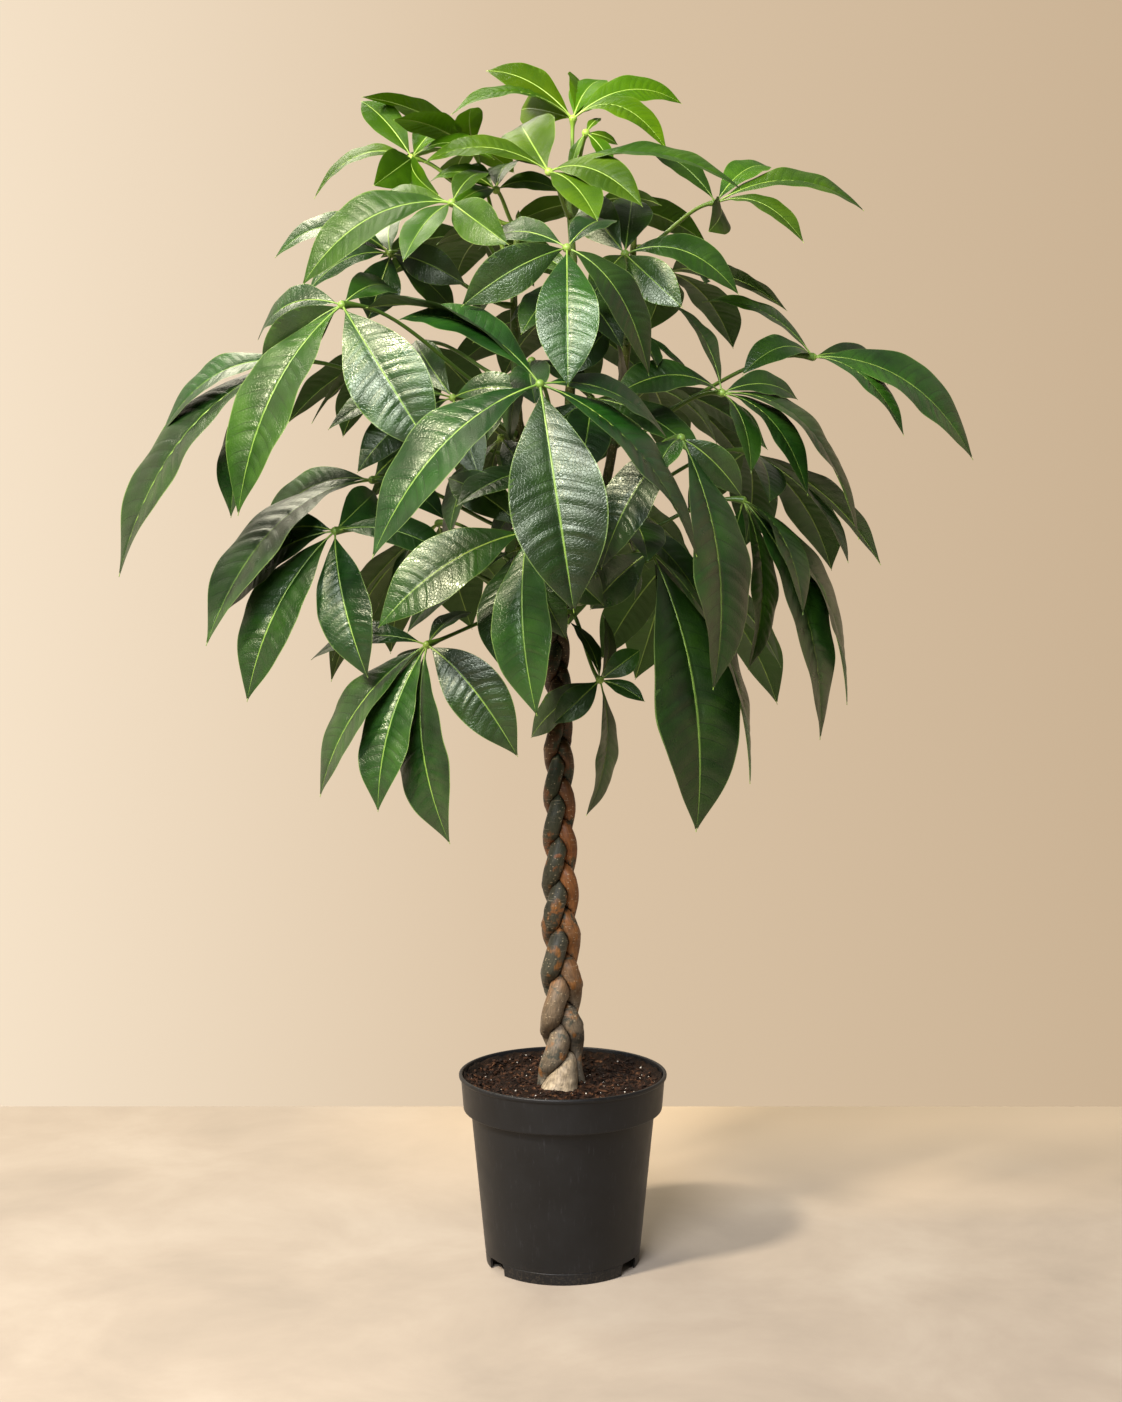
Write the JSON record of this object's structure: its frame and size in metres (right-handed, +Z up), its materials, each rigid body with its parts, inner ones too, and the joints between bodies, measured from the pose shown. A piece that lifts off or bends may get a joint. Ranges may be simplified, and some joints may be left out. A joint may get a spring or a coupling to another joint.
{
  "type": "potted money tree",
  "caption": "Braided-trunk money tree with hand-shaped glossy leaves, standing in a tapered black nursery pot filled with soil.",
  "frame": {"origin": "centre of the pot's underside, on the surface that it stands on", "axes": "+Z up along the trunk, +X to the right and +Y away as seen from the picture's camera"},
  "size_m": [0.955, 0.6955, 1.3685],
  "materials": {
    "pot_plastic": "satin moulded",
    "soil": "loose potting mix of peat and bark",
    "bark": "thin smooth bark with scars",
    "leaf": "waxy leaf, glossy above"
  },
  "bodies": {
    "root": {"pot": "pot_plastic", "potting_soil": "soil", "stem_left": "bark", "stem_middle": "bark", "stem_right": "bark", "leaf_front": "leaf", "leaf_left": "leaf", "leaf_front_high": "leaf", "leaf_low_right_front": "leaf", "leaf_low_left": "leaf", "leaf_lower_left": "leaf", "leaf_right_front": "leaf", "leaf_front_low": "leaf", "leaf_far_left": "leaf", "leaf_far_right": "leaf", "leaf_right": "leaf", "leaf_low_right": "leaf", "leaf_left_high": "leaf", "leaf_right_high": "leaf", "leaf_right_top": "leaf", "leaf_left_middle": "leaf", "leaf_inner_left": "leaf", "leaf_left_top": "leaf", "leaf_crown": "leaf", "leaf_lime": "leaf", "leaf_upper_left": "leaf", "leaf_fold_left": "leaf", "leaf_low_small": "leaf", "leaf_bud": "leaf", "leaf_back_1": "leaf", "leaf_back_2": "leaf", "leaf_back_3": "leaf", "leaf_back_4": "leaf", "leaf_back_5": "leaf", "leaf_back_6": "leaf", "leaf_back_7": "leaf", "leaf_back_8": "leaf", "leaf_back_9": "leaf", "leaf_back_10": "leaf", "leaf_back_11": "leaf", "leaf_back_12": "leaf", "leaf_inner_1": "leaf", "leaf_inner_2": "leaf", "leaf_inner_3": "leaf", "leaf_inner_4": "leaf", "leaf_inner_5": "leaf", "leaf_inner_6": "leaf", "leaf_inner_7": "leaf", "leaf_inner_8": "leaf", "leaf_inner_9": "leaf"}
  },
  "joints": []
}
